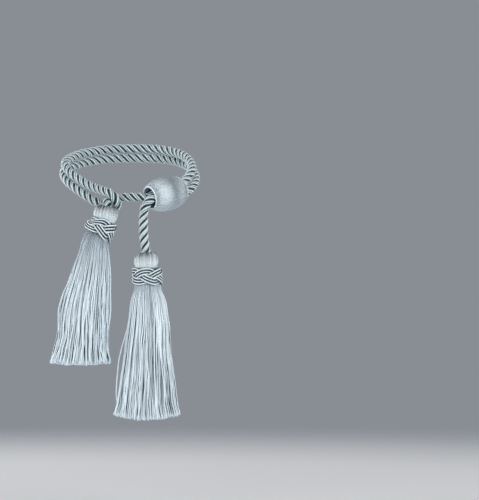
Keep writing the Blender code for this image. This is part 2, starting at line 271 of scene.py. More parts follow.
# Yarn: noise is a scale in cells per metre and a detail, and then how much it counts.
COLOUR_HEIGHTS = (0.16, 0.5, 0.85)  # where a yarn has its dark, middle and light colour
FUZZ = (900.0, 3.0, 0.3)  # unevenness of that height
MOTTLE = (300.0, 2.0)  # unevenness of the brightness
WANDER = (1500.0, 2.0, 5.0)  # how filaments wander, in radians
FILAMENT_DEPTH = 0.05 * MM
FILAMENT_ROUGHNESS = 0.04  # how much rougher a filament's crest is
SHEEN_WEIGHT = 0.08
SHEEN_ROUGHNESS = 0.4

# Stage: a plain floor, a backdrop that only the camera sees, and soft light.
FLOOR_HEIGHT = -0.36
FLOOR_SIDES = 96
FLOOR_FADE = (0.5, 1.4)  # how far out the floor starts to fade, and where it has gone
FLOOR_COLOUR = (0.80, 0.81, 0.82)
FLOOR_ROUGHNESS = 0.9
BACKDROP_COLOUR = (0.25, 0.27, 0.30)
FILL_COLOUR = (0.93, 0.95, 1.0)
FILL_LIGHT = 0.25
LIGHT_AIM = Vector((0.0, -0.1, -0.12))
# Lights: name, degrees round from straight in front, degrees up, distance, width and height, and watts.
LIGHTS = [
    ("key", 38.0, 12.0, 1.6, (1.2, 2.6), 18.0),
    ("left", -80.0, 10.0, 1.6, (0.8, 1.6), 13.0),
    ("right", 96.0, 12.0, 1.6, (0.8, 1.2), 3.0),
    ("front", -20.0, 14.0, 1.8, (1.0, 1.0), 5.0),
    ("top", -10.0, 68.0, 1.8, (1.0, 1.0), 2.5),
    ("rear_left", -145.0, 20.0, 1.8, (0.6, 1.6), 9.0),
    ("rear_right", 140.0, 20.0, 1.8, (0.6, 1.6), 3.5),
]


# Routes and frames ------------------------------------------------------------------------------------------


def bead_axes():
    """The bead's directions: along the bore, across it towards the front, and across it upwards."""
    along = Vector((cos(BEAD_RISE) * cos(BEAD_YAW), cos(BEAD_RISE) * sin(BEAD_YAW), sin(BEAD_RISE)))
    front = Vector((sin(BEAD_YAW), -cos(BEAD_YAW), 0.0))
    return along, front, front.cross(along)


def through_bore(start_degrees):
    """A rope's route through the bore from left to right, a quarter turn round its fellow."""
    along, front, up = bead_axes()
    route = []
    for share in (0.0, 0.25, 0.5, 0.75, 1.0):
        angle = radians(start_degrees - 90.0 * share)
        offset = front * cos(angle) + up * sin(angle)
        point = BEAD_CENTRE + along * (BEAD_LENGTH * (share - 0.5)) + offset * ROPE_OFFSET_IN_BORE
        route.append(tuple(point))
    return route


def rope_route():
    """The rope's route from the left tassel's head to the right tassel's head."""
    head_to_bead = [
        (-0.0214, -0.1143, -0.0601), (-0.0203, -0.1139, -0.0566), (-0.0204, -0.1097, -0.0530),
        (-0.0178, -0.1035, -0.0504), (-0.0115, -0.0998, -0.0485), (-0.0030, -0.1014, -0.0474),
        (0.0065, -0.1046, -0.0472), (0.0136, -0.1066, -0.0476),
    ]
    upper_run = [
        (0.0576, -0.0826, -0.0298), (0.0618, -0.0750, -0.0238), (0.0635, -0.0640, -0.0170),
        (0.0615, -0.0510, -0.0105), (0.0560, -0.0370, -0.0045), (0.0440, -0.0185, 0.0010),
        (0.0240, -0.0045, 0.0045), (0.0, 0.0, 0.0050), (-0.0240, -0.0045, 0.0040),
        (-0.0440, -0.0170, 0.0005), (-0.0570, -0.0330, -0.0040), (-0.0640, -0.0470, -0.0090),
        (-0.0648, -0.0580, -0.0136), (-0.0613, -0.0685, -0.0194), (-0.0556, -0.0764, -0.0248),
        (-0.0485, -0.0820, -0.0296), (-0.0416, -0.0870, -0.0338), (-0.0336, -0.0930, -0.0374),
        (-0.0266, -0.1000, -0.0399), (-0.0200, -0.1074, -0.0422),
    ]
    fold = [
        (-0.0148, -0.1116, -0.0452), (-0.0113, -0.1108, -0.0508), (-0.0110, -0.1046, -0.0568),
        (-0.0154, -0.0976, -0.0594), (-0.0225, -0.0940, -0.0570),
    ]
    lower_run = [
        (-0.0306, -0.0918, -0.0525), (-0.0365, -0.0892, -0.0492), (-0.0430, -0.0856, -0.0450),
        (-0.0490, -0.0816, -0.0408), (-0.0556, -0.0760, -0.0360), (-0.0630, -0.0660, -0.0294),
        (-0.0665, -0.0550, -0.0236), (-0.0655, -0.0420, -0.0180), (-0.0580, -0.0280, -0.0135),
        (-0.0440, -0.0135, -0.0090), (-0.0240, -0.0035, -0.0060), (0.0, 0.0, -0.0050),
        (0.0240, -0.0035, -0.0055), (0.0440, -0.0140, -0.0080), (0.0580, -0.0300, -0.0135),
        (0.0650, -0.0460, -0.0200), (0.0672, -0.0600, -0.0264), (0.0662, -0.0720, -0.0329),
        (0.0613, -0.0826, -0.0393),
    ]
    bead_to_head = [
        (0.0216, -0.1166, -0.0514), (0.0182, -0.1184, -0.0565), (0.0165, -0.1185, -0.0650),
        (0.0163, -0.1185, -0.0780), (0.0170, -0.1185, -0.0900), (0.0185, -0.1185, -0.1000),
        (0.0189, -0.1185, -0.1060),
    ]
    there = head_to_bead + through_bore(180.0) + upper_run
    back = lower_run + through_bore(0.0)[::-1] + bead_to_head
    return there + fold + back


def natural_spline(at, stops):
    """Weights of a natural cubic spline: one row for each stop, one column for each knot."""
    count = len(at)
    width = np.diff(at)
    system = np.eye(count)
    change = np.zeros((count, count))
    for row in range(1, count - 1):
        before, after = width[row - 1], width[row]
        system[row, row - 1 : row + 2] = before, 2.0 * (before + after), after
        change[row, row - 1] = 6.0 / before
        change[row, row + 1] = 6.0 / after
        change[row, row] = -change[row, row - 1] - change[row, row + 1]
    bend = np.linalg.solve(system, change)
    span = np.clip(np.searchsorted(at, stops) - 1, 0, count - 2)
    step = width[span][:, None]
    ahead = (at[span + 1] - stops)[:, None]
    behind = (stops - at[span])[:, None]
    knot = np.eye(count)
    return (
        (bend[span] * ahead**3 + bend[span + 1] * behind**3) / (6.0 * step)
        + (knot[span] / step - bend[span] * step / 6.0) * ahead
        + (knot[span + 1] / step - bend[span + 1] * step / 6.0) * behind
    )


def chord_steps(knots, power=1.0):
    """Distances along the knots, where each step counts by a power of its length."""
    return np.concatenate([[0.0], np.cumsum(np.linalg.norm(np.diff(knots, axis=0), axis=1) ** power)])


def smooth_points(route, spacing):
    """Points about `spacing` apart along a smooth curve through the route, and their arc lengths."""
    knots = np.array(route)
    at = chord_steps(knots, ROUTE_POWER)
    fine = natural_spline(at, np.linspace(0.0, at[-1], ROUTE_DETAIL * len(knots))) @ knots
    run = chord_steps(fine)
    stops = np.linspace(0.0, run[-1], int(round(run[-1] / spacing)) + 1)
    return np.column_stack([np.interp(stops, run, fine[:, axis]) for axis in range(3)]), stops


def unit(vectors):
    """The same directions, with a length of 1."""
    return vectors / np.linalg.norm(vectors, axis=-1, keepdims=True)


def carried_frames(points):
    """Tangent, normal and binormal at each point, carried along with as little turning as can be."""
    tangents = unit(np.gradient(points, axis=0))
    normal = unit(np.cross(tangents[0], (0.0, 1.0, 0.0)))
    normals = []
    for tangent in tangents:
        normal = unit(normal - tangent * normal.dot(tangent))
        normals.append(normal)
    normals = np.array(normals)
    return tangents, normals, np.cross(tangents, normals)


def circle(sides):
    """Angles of evenly spaced points round a circle."""
    return tau * np.arange(sides) / sides


def half_turns(angle):
    """The same angles, between -pi and pi."""
    return (angle + pi) % tau - pi


def fade_in(values, start, length):
    """0 up to the start, 1 from a length past it, and an even slope between them."""
    return np.clip((values - start) / length, 0.0, 1.0)


def placed(matrix, points):
    """Points moved by a matrix."""
    turn = np.array(matrix.to_3x3())
    return points @ turn.T + np.array(matrix.translation)


def carrier(tassel):
    """The place of a tassel's collar and neck."""
    return Matrix.Translation(tassel["centre"]) @ Matrix.Rotation(tassel["tilt"], 4, "Y")


def head_carrier(tassel):
    """The place of a tassel's head."""
    shifted = tassel["centre"] + Vector((tassel["head_shift"], 0.0, 0.0))
    return Matrix.Translation(shifted) @ Matrix.Rotation(tassel["head_tilt"], 4, "Y")


# Meshes -----------------------------------------------------------------------------------------------------


def add_tubes(name, rings, lengths, rise, painted_light=1.0, tone=0.5, endless=False):
    """One mesh of tubes from points[tube, ring, side], with capped ends, a UV map and three point attributes.

    U goes once round a tube and V is the length along it in metres. Rise is the height from a crevice to a
    crest, and paints shade in the crevices. The second attribute is painted shade where a point lies deep
    in a bundle or under another part, 1 where there is none. Tone is how bright its yarn is, with painted
    light in places.
    """
    tubes, count, sides, _ = rings.shape
    index = np.arange(tubes * count * sides).reshape(tubes, count, sides)
    here = index if endless else index[:, :-1]
    ahead = np.roll(index, -1, axis=1) if endless else index[:, 1:]
    quads = np.stack([here, np.roll(here, -1, 2), np.roll(ahead, -1, 2), ahead], axis=-1)
    faces = quads.reshape(-1, 4).tolist()
    if not endless:
        faces += index[:, 0, ::-1].tolist() + index[:, -1].tolist()
    mesh = bpy.data.meshes.new(name)
    mesh.from_pydata(rings.reshape(-1, 3).tolist(), [], faces)
    mesh.shade_smooth()

    u = np.arange(sides + 1) / sides
    v = np.append(lengths, lengths[-1] + lengths[1]) if endless else lengths
    corner_u = np.stack([u[:-1], u[1:], u[1:], u[:-1]], axis=-1)[None, None]
    corner_v = np.stack([v[:-1], v[:-1], v[1:], v[1:]], axis=-1)[None, :, None]
    shape = (tubes, len(v) - 1, sides, 4)
    pairs = np.stack([np.broadcast_to(corner_u, shape), np.broadcast_to(corner_v, shape)], axis=-1)
    layout = np.zeros((len(mesh.loops), 2))
    layout[: pairs.size // 2] = pairs.reshape(-1, 2)
    mesh.uv_layers.new(name="thread").data.foreach_set("uv", layout.ravel())
    for key, values in (("rise", rise), ("painted_light", painted_light), ("tone", tone)):
        layer = mesh.attributes.new(key, "FLOAT", "POINT")
        layer.data.foreach_set("value", np.broadcast_to(values, (tubes, count, sides)).ravel())
    made = bpy.data.objects.new(name, mesh)
    bpy.context.scene.collection.objects.link(made)
    return made


def dress(made, node, material):
    """Gives a piece its material and slot, hides the CAD node that it stands for, and hangs it on the body that
    it rides on.
    """
    made.data.materials.append(material)
    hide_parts(node)
    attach(made, "root")


def strand_face(angle, full):
    """Height and brightness round a strand, by angle from its crest and how full its middle is: painted
    highlights on its cords, painted shade between them and on its flanks.
    """
    degrees = np.degrees(angle)
    cords = np.zeros(np.broadcast(degrees, full).shape)
    for place, width, gain in STRAND_CORDS:
        cords = np.maximum(cords, gain * np.exp(-(((degrees - place) / width) ** 2)))
    middle = full * np.exp(-((degrees / BETWEEN_WIDTH) ** 2))
    flank = 1.0 - fade_in(np.abs(degrees), *FLANK_FADE)
    return cords, flank * (BETWEEN_CORDS + (1.0 - BETWEEN_CORDS) * np.maximum(cords, middle))


def make_rope(material):
    """The whole rope: three strands laid round the route."""
    points, stops = smooth_points(rope_route(), ROPE_SPACING)
    tangents, normals, binormals = carried_frames(points)
    lay = np.arctan(tau * STRAND_OFFSET / ROPE_PITCH)
    angle = half_turns(circle(STRAND_SIDES))
    stem = np.minimum(fade_in(stops, stops[-1] - FULL_STEM, FULL_STEM_FADE), FULLEST)[:, None]
    usual, change, wave = BETWEEN_FILL
    rings, rises, painted_lights = [], [], []
    for strand in range(ROPE_STRANDS):
        phase = tau * strand / ROPE_STRANDS
        turn = tau * stops[:, None] / ROPE_PITCH + phase
        out = np.cos(turn) * normals + np.sin(turn) * binormals
        along = -np.sin(turn) * normals + np.cos(turn) * binormals
        across = np.cos(lay) * along - np.sin(lay) * tangents
        full = np.maximum(stem, usual + change * np.sin(stops[:, None] / wave + 2.0 * phase))
        cords, rise = strand_face(angle[None], full)
        sunk = CORD_HEIGHT * (1.0 - np.maximum(cords, full)) * (np.cos(angle) > OUTER_FACE)
        radius = STRAND_RADIUS - sunk
        rings.append(
            (points + STRAND_OFFSET * out)[:, None]
            + (radius * np.cos(angle))[..., None] * out[:, None]
            + (radius * np.sin(angle))[..., None] * across[:, None]
        )
        rises.append(rise)
        # Painted shade in the grooves between the strands, where yarn lies deep in the rope.
        painted_lights.append(fade_in((STRAND_OFFSET + radius * np.cos(angle)) / ROPE_RADIUS, *ROPE_FADE))
    tone = ROPE_TONE - STEM_DULLING * stem
    rope = add_tubes("rope_strands", np.array(rings), stops, np.array(rises), np.array(painted_lights), tone)
    dress(rope, "rope", material)


def wound_threads(threads):
    """Angles round a piece that threads are wound over side by side, and the height there, from 0 to 1."""
    around = circle(threads * THREAD_SIDES)
    return around, np.abs(np.cos(around * threads / 2.0 + pi / 4.0)) ** THREAD_ROUNDNESS


def thread_rise(swell):
    """The rise of threads by their height from 0 to 1, which paints shade between them."""
    return THREAD_CREVICE + (1.0 - THREAD_CREVICE) * swell


def round_bead(radius, around, height):
    """Points by their radius from the bead's axis, their angle round it and their height along it."""
    along, front, up = (np.array(axis) for axis in bead_axes())
    return (
        np.array(BEAD_CENTRE)
        + (radius * np.cos(around))[..., None] * up
        + (radius * np.sin(around))[..., None] * front
        + (height * np.ones_like(around))[..., None] * along
    )


def make_bead(material):
    """The barrel bead, wound with threads over its side and through its bore."""
    half = BEAD_LENGTH / 2.0
    reach = half / np.sqrt(1.0 - (BEAD_END_RADIUS / BEAD_RADIUS) ** 2)
    side_heights = np.linspace(half - SIDE_INSET, SIDE_INSET - half, SIDE_RINGS)
    bore_heights = np.linspace(BORE_INSET - half, half - BORE_INSET, BORE_RINGS)
    side = [(BEAD_RADIUS * np.sqrt(1.0 - (height / reach) ** 2), height) for height in side_heights]
    bore = [(BORE_RADIUS, height) for height in bore_heights]
    outline = np.array([(MOUTH_RADIUS, half), *side, (MOUTH_RADIUS, -half), *bore])
    around, swell = wound_threads(BEAD_THREADS)
    lift = np.ones((len(outline), 1))
    lift[-BORE_RINGS:] = BORE_THREADS
    radius = outline[:, :1] + BEAD_THREAD_HEIGHT * lift * (swell - 0.5)

    chance = np.random.default_rng(BEAD_SEED)
    thread = chance.normal(*BEAD_TONE, size=BEAD_THREADS)
    near_mouth = fade_in(np.abs(outline[:, 1:]) / half, *SPECKS_FADE)
    specks = chance.normal(0.0, BEAD_SPECKS, size=(len(outline), BEAD_THREADS)) * near_mouth
    tone = np.repeat(thread + specks, THREAD_SIDES, axis=1)
    rings = round_bead(radius, around, outline[:, 1:])
    bead = add_tubes(
        "bead_winding", rings[None], chord_steps(outline), thread_rise(swell), tone=tone, endless=True
    )
    dress(bead, "bead", material)


def make_mouth_cords(material):
    """The cord sewn round each of the bead's mouths."""
    turn = circle(MOUTH_CORD_STEPS)
    section = circle(MOUTH_CORD_SIDES)
    radius = MOUTH_RADIUS + MOUTH_CORD_RADIUS * np.cos(section)
    cords = []
    for end in (-BEAD_LENGTH / 2.0, BEAD_LENGTH / 2.0):
        cords.append(round_bead(radius, turn[:, None], end + MOUTH_CORD_RADIUS * np.sin(section)))
    lengths = turn * MOUTH_RADIUS
    cord = add_tubes("bead_mouth_cord", np.array(cords), lengths, 1.0, tone=MOUTH_CORD_TONE, endless=True)
    dress(cord, "bead", material)


def make_head(tassel, material):
    """The bun, wound with threads from its dimple to the neck."""
    at = chord_steps(HEAD_OUTLINE)
    stops = np.linspace(0.0, at[-1], HEAD_RINGS)
    profile = natural_spline(at, stops) @ HEAD_OUTLINE
    out, up = profile[:, :1], profile[:, 1:]
    around, swell = wound_threads(HEAD_THREADS)
    sway, waves, per_metre = HEAD_SWAY
    angle = sway * np.sin(waves * around + per_metre * stops[:, None]) - around
    radius = out + HEAD_THREAD_HEIGHT * (swell - 0.5) * fade_in(out, 0.0, HEAD_THREAD_RADIUS)
    right = radius * np.cos(angle)
    upper = fade_in(up, *HEAD_TOP_FADE)
    height = up + tassel["head_slope"] * upper * right
    local = np.stack([right, radius * np.sin(angle), height], axis=-1)

    thread = np.random.default_rng(tassel["seed"]).normal(0.0, HEAD_STREAKS, size=HEAD_THREADS)
    # Painted light and shade: threads brighter towards the neck, darker at the top under the rope, and shaded
    # at the foot by the collar's edge.
    lower = 1.0 - fade_in(up, 0.0, HEAD_OUTLINE[:, 1].max())
    top, gain, most = HEAD_TONE
    tone = np.minimum(top + gain * lower, most) + (1.0 - lower) * np.repeat(thread, THREAD_SIDES)
    foot, foot_slope = tassel["head_foot"]
    clear = fade_in(height - foot_slope * right, foot, HEAD_FOOT_FADE)
    head = add_tubes(
        tassel["name"] + "_head_winding", placed(head_carrier(tassel), local)[None], stops,
        thread_rise(swell) * clear, 1.0 - HEAD_TOP_SHADE * upper, tone,
    )
    dress(head, tassel["name"] + "_head", material)


def braid_rings():
    """Rings of points round the three cords of a lead that laps three times, and the length along them."""
    share = np.arange(COLLAR_STEPS) / COLLAR_STEPS
    around = tau * COLLAR_LEADS * share
    swing = tau * COLLAR_BIGHTS * share
    radius = COLLAR_RADIUS + COLLAR_WEAVE * np.tanh(COLLAR_WEAVE_STEEPNESS * np.sin(2.0 * swing))
    lead = np.column_stack([radius * np.cos(around), radius * np.sin(around), COLLAR_SWING * np.sin(swing)])
    tangents = unit(np.roll(lead, -1, axis=0) - np.roll(lead, 1, axis=0))
    radial = np.column_stack([np.cos(around), np.sin(around), np.zeros(COLLAR_STEPS)])
    out = unit(radial - tangents * np.sum(radial * tangents, axis=1, keepdims=True))
    wide = np.cross(tangents, out)
    angle = circle(COLLAR_CORD_SIDES)[:, None]
    section = (np.cos(angle) * out[:, None] + np.sin(angle) * wide[:, None]) * COLLAR_CORD_RADIUS
    middles = [lead + place * COLLAR_CORD_SPACING * wide for place in COLLAR_CORDS]
    rings = np.array([middle[:, None] + section for middle in middles])
    return rings, np.arange(COLLAR_STEPS) * np.linalg.norm(lead[1] - lead[0])


def fitted_braid(tassel, rings):
    """The braid turned, grown, lifted, narrowed and leant as its tassel says."""
    rings = placed(Matrix.Rotation(tassel["collar_turn"], 4, "Z"), rings)
    right, back, up = rings[..., 0], rings[..., 1], rings[..., 2]
    lift, slope, sag = tassel["collar_lift"]
    growth, widening = tassel["collar_growth"]
    left_width, right_width, narrowing = tassel["collar_width"]
    up = up * (growth + widening * right) + lift + slope * right + sag * right**2
    ends = np.minimum((up / COLLAR_HALF_HEIGHT) ** 2, 1.0)
    across = right * np.where(right < 0.0, left_width * (1.0 - narrowing * ends), right_width)
    across += tassel["collar_shift"] + tassel["collar_lean"] * up
    return np.stack([across, back, up], axis=-1)


def make_collar(tassel, material):
    """The braid: one lead of three cords that laps the neck three times, over and under itself."""
    rings, lengths = braid_rings()
    angle = circle(COLLAR_CORD_SIDES)
    facing = np.cos(angle)
    free_side = np.array(COLLAR_CORDS)[:, None] * np.sin(angle) > 0.0
    rise = np.where(free_side, fade_in(facing, *FREE_SIDE_FADE), fade_in(facing, *BETWEEN_FADE))
    neck_side, neck_rise = NECK_SIDE
    rise = np.where(facing < neck_side, neck_rise, rise)[:, None]
    points = placed(carrier(tassel), fitted_braid(tassel, rings))
    name = tassel["name"] + "_collar_braid"
    collar = add_tubes(name, points, lengths, rise, tone=COLLAR_TONE, endless=True)
    dress(collar, tassel["name"] + "_collar", material)


def tube_rings(paths, radii, sides):
    """Rings of points round paths[tube, ring], which mostly run up and down."""
    tangents = unit(np.gradient(paths, axis=1))
    normals = unit(np.cross(tangents, (0.0, 1.0, 0.0)))
    binormals = np.cross(tangents, normals)
    angle = circle(sides)[:, None]
    across = np.cos(angle) * normals[:, :, None] + np.sin(angle) * binormals[:, :, None]
    return paths[:, :, None] + radii[..., None, None] * across


def strand_knots(tassel, place):
    """Knots of all strands, level by level, by a strand's place across the bundle."""
    knots = []
    for radius, height, below in NECK:
        local = np.column_stack([place * radius, np.full(SKIRT_STRANDS, height)])
        local[:, 0] += (1.0 - below) * tassel["collar_shift"] + below * tassel["neck_shift"]
        knots.append(placed(carrier(tassel), local))
    for height, left, right, depth, half_depth in np.array(SKIRT_LEVELS[tassel["name"]]) * MM:
        half_width = (right - left) / 2.0 - STRAND_RADII[1]
        across = (left + right) / 2.0 + place[:, 0] * half_width
        back = depth + place[:, 1] * half_depth
        knots.append(np.column_stack([across, back, np.full(SKIRT_STRANDS, height)]))
    return np.array(knots)


def make_skirt(tassel, material):
    """Some hundreds of strands, bound in the neck, that spread down to uneven cut ends."""
    chance = np.random.default_rng(tassel["seed"])
    number = np.arange(SKIRT_STRANDS)
    ring = np.sqrt((number + 0.5) / SKIRT_STRANDS)
    angle = half_turns(number * GOLDEN_ANGLE)
    knots = strand_knots(tassel, np.column_stack([ring * np.cos(angle), ring * np.sin(angle)]))
    at = chord_steps(knots.mean(axis=1))
    neck_end = at[len(NECK) - 1]
    shade, shade_reach = tassel["shade"]
    side_rise, face_rise = STRAND_RISE
    for part, chosen, (rings, sides) in (
        ("strands", ring > OUTER_SHARE, OUTER_DETAIL),
        ("core", ring <= OUTER_SHARE, CORE_DETAIL),
    ):
        stops = np.linspace(0.0, at[-1], rings)
        free = fade_in(stops, neck_end, at[-1] - neck_end)
        paths = np.einsum("rk,ksc->src", natural_spline(at, stops), knots[:, chosen])
        paths += strand_drift(tassel, ring[chosen], angle[chosen], free, chance)
        thickness = STRAND_RADII[0] + (STRAND_RADII[1] - STRAND_RADII[0]) * free**STRAND_GROWTH
        own = chance.uniform(*STRAND_THICKNESS, size=(len(paths), 1))
        tubes = tube_rings(paths, thickness[None] * own, sides)

        tone = 1.0 - DULLEST * chance.uniform(size=(len(paths), 1, 1)) ** DULL_POWER
        in_shade = 1.0 - shade * (1.0 - fade_in(stops, at[SHADE_LEVEL], shade_reach))
        # Painted shade on strands deep in the bundle and under the collar.
        painted_light = np.maximum(fade_in(ring[chosen, None, None], *BUNDLE_FADE), CORE_PAINTED_LIGHT) * in_shade[:, None]
        # Painted shade on each strand's inner side, away from the bundle's outside.
        outwards = np.cos(circle(sides) + angle[chosen, None, None])
        rise = np.clip(side_rise + face_rise * outwards, 0.0, 1.0) * np.ones((len(paths), rings, 1))
        if part == "strands":
            strays = stray_strands(tassel, ring[chosen], angle[chosen])
            tone[strays] = 1.0
            rise[strays] = 1.0
        # Painted light on the cut ends.
        tip = fade_in(free, 1.0 - TIP, TIP)[:, None]
        rise, painted_light, tone = (np.maximum(values, tip) for values in (rise, painted_light, tone))
        piece = add_tubes(f"{tassel['name']}_skirt_{part}", tubes, stops, rise, painted_light, tone)
        dress(piece, tassel["name"] + "_skirt", material)


def stray_strands(tassel, ring, angle):
    """The outermost strand at each stray's bearing."""
    return [int(np.argmax(ring * np.cos(angle - radians(degrees)))) for degrees, *_ in tassel["strays"]]


def lock_pull(angle, free, chance):
    """How far each strand is pulled sideways into locks, down the skirt."""
    pulled = np.zeros((len(angle), len(free)))
    strength, change = LOCK_STRENGTH
    down, across = LOCK_BEATS
    for lobes, size, start in LOCKS:
        phase, beat = chance.uniform(0.0, tau, size=2)
        bend = chance.uniform(-LOCK_BEND, LOCK_BEND)
        pull = -np.sin(lobes * angle[:, None] + phase + bend * free)
        share = strength + change * np.sin(down * tau * free + across * angle[:, None] + beat)
        pulled += size * pull * share * fade_in(free, start, 1.0 - start)
    return pulled


def strand_drift(tassel, ring, angle, free, chance):
    """How far each strand strays from its even place: into locks, off in waves, and out at the cut ends."""
    count = len(ring)
    around = np.column_stack([-np.sin(angle), np.cos(angle), np.zeros(count)])
    outward = np.column_stack([np.cos(angle), np.sin(angle), np.zeros(count)])
    drift = lock_pull(angle, free, chance)[..., None] * ring[:, None, None] * around[:, None]
    for waves, size in WAVES:
        for axis in range(2):
            phase = chance.uniform(0.0, tau, size=(count, 1))
            gain = chance.normal(0.0, size, size=(count, 1))
            drift[..., axis] += gain * np.sin(waves * tau * free + phase) * np.sqrt(free)
    for strand, (_, start, end, size) in zip(stray_strands(tassel, ring, angle), tassel["strays"]):
        reach = np.sin(pi * fade_in(free, start, end - start)) * size
        drift[strand] += reach[:, None] * outward[strand]
    flare = fade_in(free, FLARE_START, 1.0 - FLARE_START) ** 2
    spread = chance.uniform(*FLARE_SHARES, size=(count, 1)) * FLARE * ring[:, None]
    drift += (spread * flare)[..., None] * outward[:, None]
    edge = tassel["edge_rise"] * (ring * np.cos(angle)) ** 2
    cut = edge + chance.uniform(-1.0, 1.0, size=count) * CUT_UNEVEN
    drift[..., 2] += cut[:, None] * fade_in(free, CUT_START, 1.0 - CUT_START)
    return drift


# Materials --------------------------------------------------------------------------------------------------


class Shading:
    """A node tree that is written as a chain of sums."""

    def __init__(self, name):
        self.material = bpy.data.materials.new(name)
        self.material.use_nodes = True
        self.tree = self.material.node_tree
        self.shader = self.tree.nodes["Principled BSDF"]

    def add(self, kind, **settings):
        node = self.tree.nodes.new(kind)
        for key, value in settings.items():
            setattr(node, key, value)
        return node

    def link(self, source, target):
        self.tree.links.new(source, target)

    def put(self, value, socket):
        """Links a socket to another one, or sets it to a value."""
        if isinstance(value, bpy.types.NodeSocket):
            self.link(value, socket)
        else:
            socket.default_value = value

    def sum(self, operation, *values):
        """The result of a Math node."""
        node = self.add("ShaderNodeMath", operation=operation)
        for value, socket in zip(values, node.inputs):
            self.put(value, socket)
        return node.outputs[0]

    def attribute(self, name):
        return self.add("ShaderNodeAttribute", attribute_name=name).outputs["Fac"]

    def noise(self, scale, detail, stretch=1.0):
        """Noise in the object's space, drawn out along Z by a stretch."""
        place = self.add("ShaderNodeTexCoord").outputs["Object"]
        drawn = self.add("ShaderNodeVectorMath", operation="MULTIPLY")
        self.link(place, drawn.inputs[0])
        drawn.inputs[1].default_value = (1.0, 1.0, 1.0 / stretch)
        node = self.add("ShaderNodeTexNoise")
        node.inputs["Scale"].default_value = scale
        node.inputs["Detail"].default_value = detail
        self.link(drawn.outputs[0], node.inputs["Vector"])
        return node.outputs["Fac"]

    def ramp(self, factor, *stops):
        """Colours along a factor, as (place, colour) stops."""
        node = self.add("ShaderNodeValToRGB")
        band = node.color_ramp
        while len(band.elements) < len(stops):
            band.elements.new(0.5)
        for element, (place, colour) in zip(band.elements, stops):
            element.position = place
            element.color = (*colour, 1.0)
        self.link(factor, node.inputs["Fac"])
        return node.outputs["Color"]

    def scaled(self, colour, factor):
        """A colour made lighter or darker by a factor."""
        node = self.add("ShaderNodeVectorMath", operation="SCALE")
        self.link(colour, node.inputs[0])
        self.link(factor, node.inputs["Scale"])
        return node.outputs[0]


def yarn(
    name, dark, middle, light, roughness, filaments, slant, bump, streak=1.0, anisotropy=0.0, mottle=0.5,
    own=0.5, specular=0.8, ior=1.5, metal=0.0,
):
    """Satin yarn, with painted shade in its crevices and painted light on its crests, and fine filaments that
    slant along it.

    Filaments are counted round a tube, and slant is how many pass per metre along it. The mottle is drawn out
    along Z by the streak, and own is how much a point's own tone counts.
    """
    look = Shading(name)
    sockets = look.shader.inputs
    height = look.sum("MULTIPLY", look.attribute("rise"), look.attribute("painted_light"))
    fuzz_scale, fuzz_detail, fuzz = FUZZ
    uneven = look.sum("MULTIPLY_ADD", look.noise(fuzz_scale, fuzz_detail), fuzz, -fuzz / 2.0)
    height = look.sum("ADD", height, uneven)
    colour = look.ramp(height, *zip(COLOUR_HEIGHTS, (dark, middle, light)))
    tone = look.sum("MULTIPLY_ADD", look.noise(*MOTTLE, streak), mottle, 1.0 - own / 2.0 - mottle / 2.0)
    tone = look.sum("MULTIPLY_ADD", look.attribute("tone"), own, tone)
    look.link(look.scaled(colour, tone), sockets["Base Color"])
    if anisotropy:
        sockets["Anisotropic"].default_value = anisotropy
        round_the_tube = look.add("ShaderNodeTangent", direction_type="UV_MAP", uv_map="thread")
        look.link(round_the_tube.outputs[0], sockets["Tangent"])

    uv = look.add("ShaderNodeUVMap", uv_map="thread").outputs[0]
    split = look.add("ShaderNodeSeparateXYZ")
    look.link(uv, split.inputs[0])
    turns = look.sum("MULTIPLY", split.outputs["X"], tau * filaments)
    phase = look.sum("MULTIPLY_ADD", split.outputs["Y"], tau * slant, turns)
    wander_scale, wander_detail, wander = WANDER
    wandering = look.sum("MULTIPLY", look.noise(wander_scale, wander_detail), wander)
    ridge = look.sum("SINE", look.sum("ADD", phase, wandering))
    relief = look.add("ShaderNodeBump")
    relief.inputs["Strength"].default_value = bump
    relief.inputs["Distance"].default_value = FILAMENT_DEPTH
    look.link(ridge, relief.inputs["Height"])
    look.link(relief.outputs[0], sockets["Normal"])
    look.link(look.sum("MULTIPLY_ADD", ridge, FILAMENT_ROUGHNESS, roughness), sockets["Roughness"])
    sockets["Specular IOR Level"].default_value = specular
    sockets["IOR"].default_value = ior
    sockets["Metallic"].default_value = metal
    sockets["Sheen Weight"].default_value = SHEEN_WEIGHT
    sockets["Sheen Roughness"].default_value = SHEEN_ROUGHNESS
    return look.material


def rope_yarn():
    """Pale satin yarn with painted near-black shade in its crevices, for the rope's strands."""
    return yarn(
        "rope_yarn", dark=(0.024, 0.045, 0.05), middle=(0.24, 0.34, 0.38), light=(0.78, 0.90, 0.95),
        roughness=0.34, filaments=40, slant=900.0, bump=0.35,
    )


def bead_thread():
    """Threads over the bead, with a shine drawn out across them."""
    return yarn(
        "bead_thread", dark=(0.16, 0.20, 0.235), middle=(0.38, 0.46, 0.51), light=(0.54, 0.645, 0.70),
        roughness=0.42, filaments=BEAD_THREADS, slant=0.0, bump=0.1,
        anisotropy=0.95, mottle=0.12, specular=1.0, ior=2.3, metal=0.6,
    )


def rim_cord():
    """The pale cord round the bead's mouths."""
    return yarn(
        "rim_cord", dark=(0.20, 0.25, 0.29), middle=(0.51, 0.61, 0.65), light=(0.77, 0.88, 0.93),
        roughness=0.34, filaments=4, slant=700.0, bump=0.4,
    )


def head_thread():
    """Threads over the heads, streaked from the top to the neck."""
    return yarn(
        "head_thread", dark=(0.19, 0.24, 0.28), middle=(0.45, 0.53, 0.58), light=(0.69, 0.80, 0.85),
        roughness=0.50, filaments=HEAD_THREADS, slant=0.0, bump=0.15,
        streak=8.0, anisotropy=0.9, mottle=0.6, specular=1.0, ior=1.8,
    )


